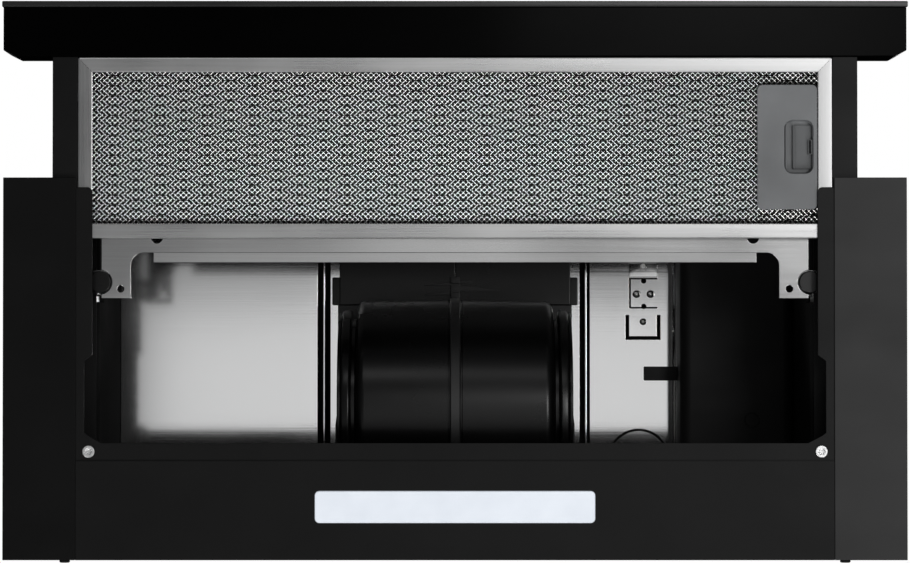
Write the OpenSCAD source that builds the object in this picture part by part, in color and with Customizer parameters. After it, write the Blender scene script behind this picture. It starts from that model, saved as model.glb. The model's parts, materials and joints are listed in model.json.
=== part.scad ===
// Telescopic cooker hood, 60 cm, with its front visor pulled out and its rear grease filter taken out.
// X runs across the hood with 0 on the centre line, Y = 0 is the wall and -Y the front, Z = 0 the underside.

/* [Body] */
// Half of the width across the two side covers
wing_x = 299; // [297:1:300]
// Depth from the wall to the front edge of the side covers
body_depth = 253; // [252:1:256]
// Height of the flat lower body
body_h = 41; // [41:1:42]
// Height of the blower chamber's roof above the underside
roof_z = 203; // [203:1:215]
// Thickness of the sheet steel
sheet = 1.2; // [1:0.1:1.2]

/* [Visor] */
// How far the visor slides out of the body
visor_travel = 80; // [70:1:80]
// Depth of the visor's front bar with its fascia
bar_depth = 37; // [34:1:40]
// Thickness of the front fascia strip
fascia_t = 4; // [3:0.5:5]
// Travel of the push buttons
button_travel = 1.2; // [0.8:0.1:1.2]

/* [Grease filter] */
// Half of the filter's width
filter_x = 249.9; // [249:0.1:249.9]
// Depth of the filter, front to rear
filter_depth = 119.6; // [118:0.1:120]
// Width of the aluminium bars around the mesh
filter_bar = 9.5; // [8:0.5:11]

/* [Lamp] */
// Half of the length of the lamp's diffuser
diffuser_x = 92.6; // [80:0.1:110]
// Width of the diffuser, front to rear
diffuser_w = 21; // [18:0.5:24]

/* [Blower] */
// Outer radius of the blower housing
scroll_r = 75; // [72:1:76]
// Half of the length of the blower housing's barrel
scroll_x = 66.8; // [64:0.2:68]
// Outer radius of the impeller
impeller_r = 60; // [56:1:62]
// Blades on each side of the impeller
blades = 28; // [20:2:36]

/* [Duct] */
// Outer radius of the duct collar
duct_r = 75; // [75:1:75]
// Height of the duct collar above the roof
duct_h = 35; // [30:1:45]

/* [Hidden] */
$fn = 64;

front_y = -body_depth;
deck_z = body_h - sheet;
chamber_x = 242;
chamber_front = -248.8;
mat_x = 239;
cover_in_x = 251;
rail_web_x = 250.1;
rail_out_x = 266.7;
rail_top = 36;
bar_rear_y = front_y - visor_travel - 0.2;
bar_front_y = bar_rear_y - bar_depth + fascia_t + 0.2;
filter_front_y = bar_rear_y + 0.7;
filter_rear_y = filter_front_y + filter_depth;
filter_z = 3;
filter_h = 9;
rail_rear_y = -173;
roller_y = -184;
roller_x = 236.2;
roller_r = 7.4;
cross_z = 13.5;
ceiling_z = 195;
axis_y = -98;
axis_z = 100;
shaft_r = 4;
duct_y = -126.5;
axle_r = 1.5;
axle_z = roof_z + 9;
flap_t = 1;
diffuser_y = -45.6;
screw_x = 242.3;
screw_y = -71.7;
bracket_x = 263;
bracket_pitch = 60;
bracket_hole_r = 2.5;
bracket_hole_z = 70;
grommet = [200, -40];
grommet_r = 4.2;
ball_x = 260;
ball_r = 2.3;
ball_z = [11.6, 26.4];
cage_front_y = -246;
cage_len = 68;
latch_y = -273.5;
button_x = [180, 200, 220, 240, 260];
button_w = 14;
button_h = 7;
button_z = 20;

// A box from its low to its high limit on each axis.
module block(x, y, z) translate([x[0], y[0], z[0]]) cube([x[1] - x[0], y[1] - y[0], z[1] - z[0]]);

// The child as drawn for the right side, or its mirror image for the left.
module on_side(side) mirror([side < 0 ? 1 : 0, 0, 0]) children();

module both_sides() for (side = [-1, 1]) on_side(side) children();

// A rectangle with true round corners.
module round_rect(x, y, r) {
    translate([x[0] + r, y[0]]) square([x[1] - x[0] - 2 * r, y[1] - y[0]]);
    translate([x[0], y[0] + r]) square([x[1] - x[0], y[1] - y[0] - 2 * r]);
    for (cx = [x[0] + r, x[1] - r], cy = [y[0] + r, y[1] - r]) translate([cx, cy]) circle(r);
}

module round_slab(x, y, z, r) translate([0, 0, z[0]]) linear_extrude(z[1] - z[0]) round_rect(x, y, r);

module rod(p, r, len) translate(p) cylinder(r = r, h = len);

// A cylinder along +X that starts at p.
module rod_x(p, r, len) translate(p) rotate([0, 90, 0]) cylinder(r = r, h = len);

// A cylinder along +Y that starts at p.
module rod_y(p, r, len) translate(p) rotate([-90, 0, 0]) cylinder(r = r, h = len);

// An outline in Y and Z, extruded along X.
module along_x(x) translate([x[0], 0, 0]) rotate([90, 0, 90]) linear_extrude(x[1] - x[0]) children();

// ---- Fixed body ----

module base_deck() color("#101010") difference() {
    block([-wing_x, wing_x], [front_y, 0], [deck_z, body_h]);
    block([-241, 241], [-246, -6], [deck_z - 1, body_h + 1]);
}

// Five sheets, spot-welded with a hair of room between them: two sides with a foot, front, rear and roof.
module casing() color("#b9bcc0") {
    seam = 0.05;
    roof_low = roof_z - sheet;
    both_sides() {
        block([chamber_x, chamber_x + sheet], [chamber_front, 0], [body_h, roof_z]);
        block([chamber_x, chamber_x + 16], [chamber_front, 0], [body_h, body_h + sheet]);
    }
    for (y = [chamber_front, -sheet])
        block([-chamber_x + seam, chamber_x - seam], [y, y + sheet], [body_h, roof_low - seam]);
    difference() {
        block([-chamber_x + seam, chamber_x - seam], [chamber_front, 0], [roof_low, roof_z]);
        rod([0, duct_y, roof_z - 5], 72.5, 10);
        rod([grommet[0], grommet[1], roof_z - 5], 7, 10);
    }
}

module side_cover() difference() {
    union() {
        block([cover_in_x, wing_x], [front_y, 0], [0, sheet]);
        block([wing_x - sheet, wing_x], [front_y, 0], [0, deck_z]);
        block([268.5, wing_x], [front_y, front_y + sheet], [0, deck_z]);
        block([cover_in_x + 0.2, wing_x], [-sheet, 0], [0, deck_z]);
    }
    rod_y([258.6, -5, 8], 1.6, 10);
}
module side_cover_left() color("#0d0d0d") on_side(-1) side_cover();
module side_cover_right() color("#202020") side_cover();

// The black frame around the rear filter's opening lies on the covers' inner edges.
module bottom_frame() color("#0b0b0b") difference() {
    translate([0, 0, sheet]) linear_extrude(1) union() {
        both_sides() {
            polygon([[240, -243.1], [243.5, -246.6], [256, -246.6], [256, -60], [240, -60],
                     [233.4, -65.4], [233.4, -77.3], [242.5, -82], [245.3, -84], [245.3, -131.5],
                     [240, -135.5]]);
            translate([243.5, -243.1]) circle(3.5);
        }
        translate([-240, -77.3]) square([480, 17.3]);
    }
    both_sides() rod([screw_x, screw_y, 0], 1.8, 4);
}

// Sheet posts carry the bottom frame from the deck, behind the visor's travel.
module frame_posts() color("#141414") both_sides() difference() {
    union() {
        block([238, 247], [-77, -66], [2.2, 3.4]);
        block([238, 239], [-77, -66], [2.2, deck_z]);
        block([238, 247], [-77, -66], [deck_z - 1, deck_z]);
    }
    rod([screw_x, screw_y, 0], 1.7, 8);
}

module frame_screws() color("#c4c4c4") both_sides() difference() {
    union() {
        rod([screw_x, screw_y, 0], 4, sheet);
        rod([screw_x, screw_y, sheet], 1.6, 8);
    }
    for (turn = [0, 60, 120]) translate([screw_x, screw_y, 0]) rotate(turn)
        cube([4.4, 1.1, 1.6], center = true);
}

module lamp_panel() color("#161616") difference() {
    union() {
        block([-cover_in_x + 0.1, cover_in_x - 0.1], [-65.4, 0], [0, sheet]);
        block([-cover_in_x + 0.1, cover_in_x - 0.1], [-sheet, 0], [0, deck_z]);
    }
    round_slab([-diffuser_x - 0.2, diffuser_x + 0.2], [diffuser_y - 0.2, diffuser_y + diffuser_w + 0.2],
               [-1, 3], 3.2);
}

module lamp_diffuser() color("#dfe3e8") {
    round_slab([-diffuser_x, diffuser_x], [diffuser_y, diffuser_y + diffuser_w], [0, 2], 3);
    round_slab([-diffuser_x - 3, diffuser_x + 3], [diffuser_y - 3, diffuser_y + diffuser_w + 3],
               [sheet, 2.2], 3);
}

module lamp_tray() color("#e8e8e8") difference() {
    block([-diffuser_x - 3, diffuser_x + 3], [diffuser_y - 3, diffuser_y + diffuser_w + 3], [2.2, 14]);
    block([-diffuser_x - 1, diffuser_x + 1], [diffuser_y - 1, diffuser_y + diffuser_w + 1], [1, 12.5]);
}

module led_board() color("#d9e6d4") {
    block([-diffuser_x, diffuser_x], [diffuser_y + 4, diffuser_y + diffuser_w - 4], [10.9, 12.5]);
    for (i = [-5.5:5.5]) block([i * 15 - 1.8, i * 15 + 1.8], [diffuser_y + 9, diffuser_y + 12], [10.1, 10.9]);
}

// Bare steel bar between the two filters, on two legs that turn up to the casing.
module crossbar() color("#8f9191") {
    upright_y = -174.4;
    post_y = -176.2;
    difference() {
        union() {
            block([-235.2, 235.2], [-220, -203.6], [cross_z, cross_z + sheet]);
            along_x([-200.6, 200.6])
                polygon([[-204, cross_z + 0.2], [-203.6, cross_z + 0.2], [-197, cross_z + 0.25],
                         [-197, cross_z + 1.45], [-204, cross_z + 1.4]]);
            both_sides() {
                block([215.5, 235.2], [-204, upright_y + sheet], [cross_z, cross_z + sheet]);
                difference() {
                    block([206.9, 215.6], [-204, -195], [cross_z, cross_z + sheet]);
                    rod([206.9, -195, cross_z - 1], 8.6, 4);
                }
                block([215.5, 235.2], [upright_y, upright_y + sheet], [cross_z, 20]);
                block([228, 235.2], [post_y, post_y + sheet], [cross_z, 70]);
                block([228, chamber_x], [post_y, post_y + sheet], [46, 70]);
                block([chamber_x - sheet, chamber_x], [-190, post_y + sheet], [46, 70]);
            }
        }
        both_sides() {
            rod([roller_x, roller_y, cross_z - 1], roller_r + 0.8, 4);
            rod([222.4, -179.5, cross_z - 1], 2.4, 4);
            rod([198.3, -213.5, cross_z - 1], 3.8, 4);
        }
    }
}

module roller_brackets() color("#9b9d9d") both_sides() difference() {
    union() {
        block([216.5, 227], [-198, -177], [cross_z + sheet, cross_z + 2 * sheet]);
        block([225.8, 227], [-198, -177], [cross_z + sheet, 23.7]);
        block([225.8, 241.5], [-192, -177], [22.5, 23.7]);
    }
    rod([222.4, -179.5, cross_z], 2.4, 6);
    rod([roller_x, roller_y, 20], 2, 6);
}

module roller_pins() color("#b5b5b5") both_sides() rod([roller_x, roller_y, 14.9], 2, 9.6);

module guide_roller() difference() {
    rod([roller_x, roller_y, 13], roller_r, 8.5);
    rod([roller_x, roller_y, 14.7], 2.05, 12);
}
module guide_roller_left() color("#111111") on_side(-1) guide_roller();
module guide_roller_right() color("#111111") guide_roller();

module rear_bumpers() color("#0a0a0a") both_sides() {
    rod_y([258.6, 0, 8], 3.5, 2);
    rod_y([258.6, -4, 8], 1.5, 4.2);
}

// ---- Chamber lining ----

// Black damping mats under the roof and on both side walls.
module damping_mats() color("#0c0c0c") {
    difference() {
        block([-241, 241], [-247, -2], [199, roof_z - sheet]);
        rod([0, duct_y, 190], 73, 20);
        rod([grommet[0], grommet[1], 190], 11, 20);
    }
    both_sides() difference() {
        block([mat_x, chamber_x], [-247, -2], [body_h + 1, ceiling_z - 0.2]);
        block([mat_x - 1, chamber_x + 1], [-192, -171], [body_h, 72]);
    }
}

// A plate with its four edges folded up to the mat.
module lining_plate(x, y) difference() {
    block(x, y, [ceiling_z, 199]);
    block([x[0] + sheet, x[1] - sheet], [y[0] + sheet, y[1] - sheet], [ceiling_z + sheet, 200]);
}

module ceiling_plate_left() color("#c9cbcc") lining_plate([-mat_x + 0.2, -98], [-245, -3]);

module blower_plate() color("#d2d4d5") difference() {
    lining_plate([-89, 89], [-245, -3]);
    block([-62, 62], [-172, -96], [ceiling_z - 1, ceiling_z + 2]);
}

module ceiling_dividers() color("#e2e3e4") both_sides() block([92.7, 94.2], [-245, -3], [193, 199]);

// Right lining plate, with the folds, slots and tabs that hold the wiring terminals.
module terminal_plate() color("#cfd1d2") difference() {
    union() {
        lining_plate([96.3, mat_x - 0.2], [-245, -3]);
        block([124.5, 144.5], [-201, -191], [ceiling_z - 0.8, ceiling_z]);
        for (x = [129.9, 139.8]) rod([x, -178.8, ceiling_z - 1], 2.6, 1);
        rod([134.5, -159, ceiling_z - 1], 2.2, 1);
        rod([134.7, -198.5, ceiling_z - 1.6], 1.9, 0.8);
    }
    block([152.6, 155.4], [-240, -8], [ceiling_z - 1, ceiling_z + 0.8]);
    block([124.5, 144.5], [-190.2, -189.4], [ceiling_z - 1, ceiling_z + 2]);
    block([124.5, 125.6], [-189.4, -169], [ceiling_z - 1, ceiling_z + 2]);
    block([125.6, 144.5], [-169.4, -168.6], [ceiling_z - 1, ceiling_z + 2]);
    for (y = [-188.2, -170]) rod([134.9, y, ceiling_z - 1], 1.7, 4);
    block([122, 124.3], [-163.7, -146.2], [ceiling_z - 1, ceiling_z + 2]);
    block([144.4, 146.7], [-163.7, -146.2], [ceiling_z - 1, ceiling_z + 2]);
    block([122, 146.7], [-148.5, -146.2], [ceiling_z - 1, ceiling_z + 2]);
    rod([grommet[0], grommet[1], ceiling_z - 1], 9, 4);
    difference() {
        rod([131.2, -60.6, ceiling_z - 1], 21.8, 1.6);
        rod([131.2, -60.6, ceiling_z - 2], 20.6, 4);
    }
}

module electronics_cover() color("#070707") {
    difference() {
        round_slab([158.6, mat_x - 0.3], [-235, -32], [157, ceiling_z], 8);
        round_slab([161, mat_x - 2.7], [-232.6, -34.4], [159.4, ceiling_z + 1], 6);
    }
    block([135, 160], [-127, -117], [190, ceiling_z - 0.1]);
    rod([209, -89.5, 156.6], 5, 0.6);
}

module control_board() color("#2f6b45") {
    block([164, 231], [-216, -130], [185, 186.6]);
    for (y = [-210, -190, -170]) block([170, 186], [y, y + 14], [169, 185]);
    block([192, 222], [-205, -180], [163, 185]);
    rod([205, -160, 167], 8, 18);
}

module capacitor() color("#d8d8d0") {
    rod_x([168, -105, 178], 16, 58);
    rod_x([226, -105, 178], 5, 5);
}

// ---- Ball slides in the side covers ----

module slide_channel() difference() {
    union() {
        block([266.9, 268.1], [-250, -60], [8, deck_z]);
        block([268, 282], [-250, -60], [deck_z - sheet, deck_z]);
        block([258, 267], [-250, -60], [8, 9.2]);
        block([258, 267], [-250, -60], [28.8, 30]);
    }
    for (y = [-230, -80]) rod([276, y, 30], 2.1, 20);
}
module slide_channel_left() color("#b0b0b0") on_side(-1) slide_channel();
module slide_channel_right() color("#b0b0b0") slide_channel();

module ball_cage() {
    pitch = 18;
    difference() {
        union() {
            block([263.6, 264.4], [cage_front_y, cage_front_y + cage_len], [11.2, 26.8]);
            for (z = ball_z) block([257.4, 264], [cage_front_y, cage_front_y + cage_len], [z - 0.4, z + 0.4]);
        }
        for (i = [0:3], z = ball_z) rod([ball_x, cage_front_y + 7 + i * pitch, z - 3], ball_r + 0.15, 6);
    }
    for (i = [0:3], z = ball_z) translate([ball_x, cage_front_y + 7 + i * pitch, z]) sphere(ball_r);
}
module ball_cage_left() color("#c8c8c8") on_side(-1) ball_cage();
module ball_cage_right() color("#c8c8c8") ball_cage();

module slide_runners() color("#b0b0b0") both_sides() {
    web_x = rail_web_x + sheet;
    block([web_x, web_x + 1.2], [-325, rail_rear_y], [14, 24]);
    block([web_x, 262], [-325, rail_rear_y], [14, 15.2]);
    block([web_x, 262], [-325, rail_rear_y], [22.8, 24]);
}

// ---- Blower ----

collar_x = 77.4;
outlet_y = [-168, -100];
scroll_wall = 2.5;
seam_x = 0.2;

// The barrel's round outline with the duct that rises from its front side.
module scroll_outline(inset) {
    translate([axis_y, axis_z]) circle(scroll_r - inset);
    translate([axis_y - scroll_r + inset, axis_z]) square([80 - 2 * inset, 90 - inset]);
}

// Half of the barrel, from its end wall at the right to the seam, with the outlet turned up to the roof.
module scroll_half(inner_x, outer_x) {
    difference() {
        union() {
            along_x([inner_x, outer_x]) scroll_outline(0);
            block([inner_x, 58], outlet_y, [180, roof_z]);
            block([inner_x, 82.2], [-214, -170.8], [186, 191]);
            block([inner_x, 87.5], [-190.6, -170.8], [188, ceiling_z]);
            block([inner_x, 83.4], [-171, -96.8], [186, 190]);
            block([62, outer_x], [-80, -50], [150, ceiling_z]);
            translate([0, 0, 184]) linear_extrude(ceiling_z - 184)
                polygon([[62, -104], [83.8, -96.8], [85.1, -85.4], [85.1, -40], [62, -40]]);
            rod_x([outer_x - 1, axis_y, axis_z], 62, 5);
            rod_x([outer_x + 3.5, axis_y, axis_z], 69, collar_x - outer_x - 3.5);
        }
        along_x([inner_x - 1, outer_x - scroll_wall]) scroll_outline(scroll_wall);
        block([inner_x - 1, 58 - scroll_wall], [outlet_y[0] + scroll_wall, outlet_y[1] - scroll_wall],
              [170, roof_z + 1]);
        rod_x([outer_x - 5, axis_y, axis_z], 58, 30);
    }
}
module scroll_left() color("#161616") on_side(-1) scroll_half(-seam_x + 0.05, scroll_x);
module scroll_right() color("#161616") scroll_half(seam_x + 0.05, scroll_x);

// The clamping band over the joint of the two halves.
module scroll_seam() color("#1b1b1b") {
    difference() {
        rod_x([seam_x - 3.4, axis_y, axis_z], scroll_r + 1.6, 6.8);
        rod_x([seam_x - 5, axis_y, axis_z], scroll_r, 10);
        block([-10, 10], [axis_y - 90, axis_y + 90], [axis_z, axis_z + 90]);
    }
    block([seam_x - 3.4, seam_x + 3.4], [axis_y - scroll_r - 1.6, axis_y - scroll_r], [axis_z - 1, 186]);
    block([seam_x - 3.4, seam_x + 3.4], [-191, axis_y - scroll_r - 1], [181, 186]);
    for (y = [-187, -180]) block([seam_x - 22, seam_x], [y, y + 1.2], [184, 186]);
    block([seam_x, seam_x + 12], [-187.6, -186.4], [184, 186]);
    block([seam_x, seam_x + 32], [-183.6, -182.4], [184, 186]);
}

module inlet_rings() color("#101010") both_sides() translate([collar_x, axis_y, axis_z])
    rotate([0, 90, 0]) rotate_extrude() {
        translate([50, 0]) square([16, 2]);
        translate([50, -12]) square([2, 13]);
    }

module motor_body() color("#8c8c8c") difference() {
    union() {
        rod_x([10, axis_y, axis_z], 36, 50);
        rod_x([6, axis_y, axis_z], 12, 58);
    }
    rod_x([0, axis_y, axis_z], shaft_r + 0.05, 70);
}

// A ring round the motor's outer end on three arms from the right inlet.
module motor_bracket() color("#a5a5a5") {
    difference() {
        rod_x([60, axis_y, axis_z], 40, 4);
        rod_x([50, axis_y, axis_z], 12, 20);
    }
    for (turn = [30, 150, 270]) translate([0, axis_y, axis_z]) rotate([turn, 0, 0])
        block([62, 64], [-4, 4], [38, 58]);
}

module motor_shaft() color("#c9c9c9") rod_x([-10, axis_y, axis_z], shaft_r, 72);

module impeller() color("#1c1c1c") {
    ring_in = impeller_r - 10;
    difference() {
        rod_x([-4, axis_y, axis_z], impeller_r, 3);
        rod_x([-10, axis_y, axis_z], shaft_r, 20);
    }
    difference() {
        rod_x([-8, axis_y, axis_z], 9, 12);
        rod_x([-10, axis_y, axis_z], shaft_r, 20);
    }
    for (x = [-56, 54]) difference() {
        rod_x([x, axis_y, axis_z], impeller_r - 4, 2);
        rod_x([x - 1, axis_y, axis_z], ring_in, 4);
    }
    for (i = [0:blades - 1]) translate([0, axis_y, axis_z]) rotate([i * 360 / blades, 0, 0])
        translate([0, ring_in + 0.6, 0]) rotate([35, 0, 0]) block([-55, 55], [0, 9.4], [-0.6, 0.6]);
}

// ---- Duct ----

module duct_collar() color("#1a1a1a") difference() {
    union() {
        rod([0, duct_y, roof_z], 85, 1.5);
        rod([0, duct_y, roof_z], duct_r, duct_h);
    }
    rod([0, duct_y, roof_z - 1], 67, duct_h + 2);
    rod([0, duct_y, axle_z - 1.1], duct_r - 2.5, duct_h);
    rod_x([-80, duct_y, axle_z], axle_r, 160);
}

module flap_axle() color("#c0c0c0") rod_x([-duct_r + 0.5, duct_y, axle_z], axle_r, 2 * duct_r - 1);

// A half-disc flap on the front side of the axle, with knuckles where it holds the axle.
module damper_flap(knuckles, gaps) {
    r = duct_r - 4;
    difference() {
        union() {
            intersection() {
                rod([0, duct_y, axle_z - flap_t / 2], r, flap_t);
                block([-80, 80], [duct_y - 80, duct_y - 2.2], [axle_z - 2, axle_z + 2]);
            }
            for (x = knuckles) {
                rod_x([x, duct_y, axle_z], 2.6, 16);
                block([x, x + 16], [duct_y - 5, duct_y - 2], [axle_z - flap_t / 2, axle_z + flap_t / 2]);
            }
        }
        for (x = gaps) block([x - 1, x + 17], [duct_y - 4.2, duct_y + 5], [axle_z - 4, axle_z + 4]);
        rod_x([-80, duct_y, axle_z], axle_r + 0.1, 160);
    }
}
front_knuckles = [-62, -14, 34];
rear_knuckles = [-38, 10];
module damper_flap_front() color("#9c9fa1") damper_flap(front_knuckles, rear_knuckles);
module damper_flap_rear() color("#9c9fa1") translate([0, 2 * duct_y, 0]) mirror([0, 1, 0])
    damper_flap(rear_knuckles, front_knuckles);

module cable_grommet() color("#0e0e0e") translate([grommet[0], grommet[1], roof_z - sheet / 2])
    rotate_extrude() {
        translate([grommet_r, -sheet / 2]) square([7 - grommet_r, sheet]);
        translate([grommet_r, -3]) square([10 - grommet_r, 3 - sheet / 2]);
        translate([grommet_r, sheet / 2]) square([10 - grommet_r, 3.4]);
    }

// Brackets beside the chamber take the screws into the cabinet's side panels.
module mounting_brackets() color("#a8abad") both_sides() difference() {
    union() {
        block([chamber_x + sheet, chamber_x + 2 * sheet], [-150, -100], [50, 150]);
        block([chamber_x + sheet, bracket_x], [-101.5, -100], [50, 150]);
        block([bracket_x - 1.5, bracket_x], [-140, -100], [50, 150]);
    }
    for (i = [0, 1]) rod_x([bracket_x - 5, -130, bracket_hole_z + i * bracket_pitch], bracket_hole_r, 10);
}

// ---- Visor ----

module bar_outline(inset) polygon([
    [-wing_x + inset, bar_front_y], [wing_x - inset, bar_front_y], [wing_x - inset, bar_rear_y - 4 - inset / 3],
    [wing_x - 8 - inset / 3, bar_rear_y - inset], [-wing_x + 8 + inset / 3, bar_rear_y - inset],
    [-wing_x + inset, bar_rear_y - 4 - inset / 3]]);

module front_bar() color("#050505") difference() {
    linear_extrude(body_h) bar_outline(0);
    translate([0, 0, sheet]) linear_extrude(body_h - 2 * sheet) difference() {
        bar_outline(sheet);
        translate([-wing_x, bar_front_y - 10]) square([2 * wing_x, 10]);
    }
    block([-wing_x + 6, wing_x - 6], [bar_front_y - 1, bar_front_y + 6], [6, body_h - 6]);
}

module button_hole(x, grow) round_slab([x - button_w / 2 - grow, x + button_w / 2 + grow],
    [button_z - button_h / 2 - grow, button_z + button_h / 2 + grow], [-1, fascia_t + 1], 2);

module front_fascia() color("#1c1c1c") difference() {
    block([-wing_x - 1, wing_x + 1], [bar_front_y - fascia_t, bar_front_y], [0, body_h]);
    translate([0, bar_front_y, 0]) rotate([90, 0, 0]) for (x = button_x) button_hole(x, 0.25);
}

module button_board() color("#2f6b45") {
    block([164, 276], [bar_front_y + 8, bar_front_y + 9.6], [12, 28]);
    for (x = button_x) {
        block([x - 3, x + 3], [bar_front_y + 4, bar_front_y + 8], [button_z - 3, button_z + 3]);
        rod_y([x, bar_front_y + 1.8 + button_travel, button_z], 1.5, 2.2 - button_travel);
    }
    for (x = [166, 274]) block([x - 2, x + 2], [bar_front_y, bar_front_y + 8], [13, 16]);
}

module push_button(i) color("#2a2a2a") translate([0, bar_front_y, 0]) {
    rotate([90, 0, 0]) linear_extrude(fascia_t)
        round_rect([button_x[i] - button_w / 2, button_x[i] + button_w / 2],
                   [button_z - button_h / 2, button_z + button_h / 2], 1.8);
    block([button_x[i] - 9, button_x[i] + 9], [0.1, 1.2], [button_z - 5.5, button_z + 5.5]);
    block([button_x[i] - 2, button_x[i] + 2], [-0.5, 1.7], [button_z - 2, button_z + 2]);
}
module button_1() push_button(0);
module button_2() push_button(1);
module button_3() push_button(2);
module button_4() push_button(3);
module button_5() push_button(4);

// A channel open to the outside, with the strip that runs along the guide roller.
module visor_rail() {
    block([rail_web_x, rail_web_x + sheet], [bar_rear_y, rail_rear_y], [filter_z, rail_top]);
    block([rail_web_x, rail_out_x], [bar_rear_y, rail_rear_y], [filter_z, filter_z + sheet]);
    block([rail_web_x, rail_out_x], [bar_rear_y, rail_rear_y], [rail_top - sheet, rail_top]);
    block([rail_web_x, rail_out_x], [bar_rear_y, bar_rear_y + sheet], [filter_z, rail_top]);
    block([243.8, rail_web_x], [-270, rail_rear_y], [13, 21.5]);
}
module visor_rail_left() color("#0c0c0c") on_side(-1) difference() {
    visor_rail();
    for (y = [-310, -245]) block([249, 252], [y - 6.4, y + 6.4], [4.6, 6.6]);
}
module visor_rail_right() color("#0c0c0c") difference() {
    visor_rail();
    block([249, 252], [latch_y - 6, latch_y + 6], [5.4, 8.6]);
}

module visor_top() color("#101010") difference() {
    block([-rail_out_x, rail_out_x], [bar_rear_y, -224], [rail_top, rail_top + 1]);
    both_sides() block([213, 238], [-258, -223], [rail_top - 1, rail_top + 2]);
}

// ---- Grease filter in the visor ----

module filter_frame() color("#a9aaab") {
    wall = 0.8;
    z = [filter_z, filter_z + filter_h];
    x_in = filter_x - filter_bar;
    y_in = [filter_front_y + filter_bar, filter_rear_y - filter_bar];
    difference() {
        block([-filter_x, filter_x], [filter_front_y, filter_rear_y], z);
        block([-filter_x + wall, filter_x - wall], [filter_front_y + wall, filter_rear_y - wall],
              [z[0] + wall, z[1] - wall]);
        block([-x_in, x_in], y_in, [z[0] - 1, z[1] + 1]);
        block([241, 252], [latch_y - 5.6, latch_y + 5.6], [5.6, 8.4]);
        for (y = [-310, -245]) block([-252, -241], [y - 6.2, y + 6.2], [4.8, 6.4]);
    }
}

module filter_mesh() color("#9a9a9a") {
    x = [-filter_x + 1.2, filter_x - 1.2];
    y = [filter_front_y + 1.2, filter_rear_y - 1.2];
    difference() {
        for (z = [4.6, 7, 9.4]) block(x, y, [z, z + 0.7]);
        block([214, 240.2], [latch_y - 19.5, latch_y + 19.5], [4, 11.2]);
        block([238, 252], [latch_y - 7, latch_y + 7], [5.2, 8.8]);
        for (y = [-310, -245]) block([-252, -240], [y - 7, y + 7], [4, 6.6]);
    }
}

module filter_tabs() color("#b8b8b8") for (y = [-310, -245]) block([-251.1, -240.6], [y - 6, y + 6], [5, 6.2]);

// The latch's plate with its finger recess, let into the mesh.
recess_x = [218.4, 237.4];
recess_y = [latch_y - 17.7, latch_y + 17.7];
module latch_plate() color("#65686a") difference() {
    union() {
        round_slab([200.3, 240.1], [-314.7, -232], [filter_z, 4.5], 3.5);
        round_slab([recess_x[0] - 1, recess_x[1] + 1], [recess_y[0] - 1, recess_y[1] + 1],
                   [filter_z, 11], 6);
    }
    round_slab(recess_x, recess_y, [filter_z - 1, 9.8], 5.3);
    block([230, 241], [latch_y - 5.6, latch_y + 5.6], [5.6, 8.4]);
}

// The slider's ridge is pulled towards the middle of the filter to draw its tongue out of the rail.
module latch_slider() color("#5a5d5f") {
    block([222.4, 236.6], [latch_y - 14.5, latch_y + 14.5], [8.4, 9.5]);
    block([222.4, 224.4], [latch_y - 14.5, latch_y + 14.5], [6.4, 9]);
    block([234.4, 251.1], [latch_y - 5, latch_y + 5], [6, 8]);
    block([234.4, 236.4], [latch_y - 5, latch_y + 5], [6, 9]);
}

base_deck();
casing();
side_cover_left();
side_cover_right();
bottom_frame();
frame_posts();
frame_screws();
lamp_panel();
lamp_diffuser();
lamp_tray();
led_board();
crossbar();
roller_brackets();
roller_pins();
guide_roller_left();
guide_roller_right();
rear_bumpers();
damping_mats();
ceiling_plate_left();
blower_plate();
ceiling_dividers();
terminal_plate();
electronics_cover();
control_board();
capacitor();
slide_channel_left();
slide_channel_right();
ball_cage_left();
ball_cage_right();
scroll_left();
scroll_right();
scroll_seam();
inlet_rings();
motor_body();
motor_bracket();
motor_shaft();
impeller();
duct_collar();
flap_axle();
damper_flap_front();
damper_flap_rear();
cable_grommet();
mounting_brackets();
front_bar();
front_fascia();
button_board();
button_1();
button_2();
button_3();
button_4();
button_5();
visor_rail_left();
visor_rail_right();
slide_runners();
visor_top();
filter_frame();
filter_mesh();
filter_tabs();
latch_plate();
latch_slider();
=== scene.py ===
"""A telescopic cooker hood seen from below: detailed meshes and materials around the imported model."""

import json
import math

import bmesh
import bpy
import numpy as np
from mathutils import Matrix, Vector


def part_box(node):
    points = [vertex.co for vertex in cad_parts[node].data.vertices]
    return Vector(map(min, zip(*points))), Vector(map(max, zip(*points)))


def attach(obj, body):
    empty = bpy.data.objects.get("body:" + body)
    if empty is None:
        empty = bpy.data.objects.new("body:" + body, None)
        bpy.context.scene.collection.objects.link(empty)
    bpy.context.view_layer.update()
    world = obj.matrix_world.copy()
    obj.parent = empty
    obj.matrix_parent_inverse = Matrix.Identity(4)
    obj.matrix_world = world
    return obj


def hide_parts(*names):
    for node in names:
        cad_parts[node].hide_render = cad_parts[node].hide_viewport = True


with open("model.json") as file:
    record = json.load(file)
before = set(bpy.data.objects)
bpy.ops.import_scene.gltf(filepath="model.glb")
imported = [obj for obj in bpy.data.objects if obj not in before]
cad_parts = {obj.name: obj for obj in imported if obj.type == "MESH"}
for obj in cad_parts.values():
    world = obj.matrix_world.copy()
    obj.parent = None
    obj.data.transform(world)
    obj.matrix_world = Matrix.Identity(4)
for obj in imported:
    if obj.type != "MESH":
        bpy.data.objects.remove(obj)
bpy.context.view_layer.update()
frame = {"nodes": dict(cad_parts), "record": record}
NODES = frame["nodes"]
MM = 0.001

# ---------------------------------------------------------------- materials


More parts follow.
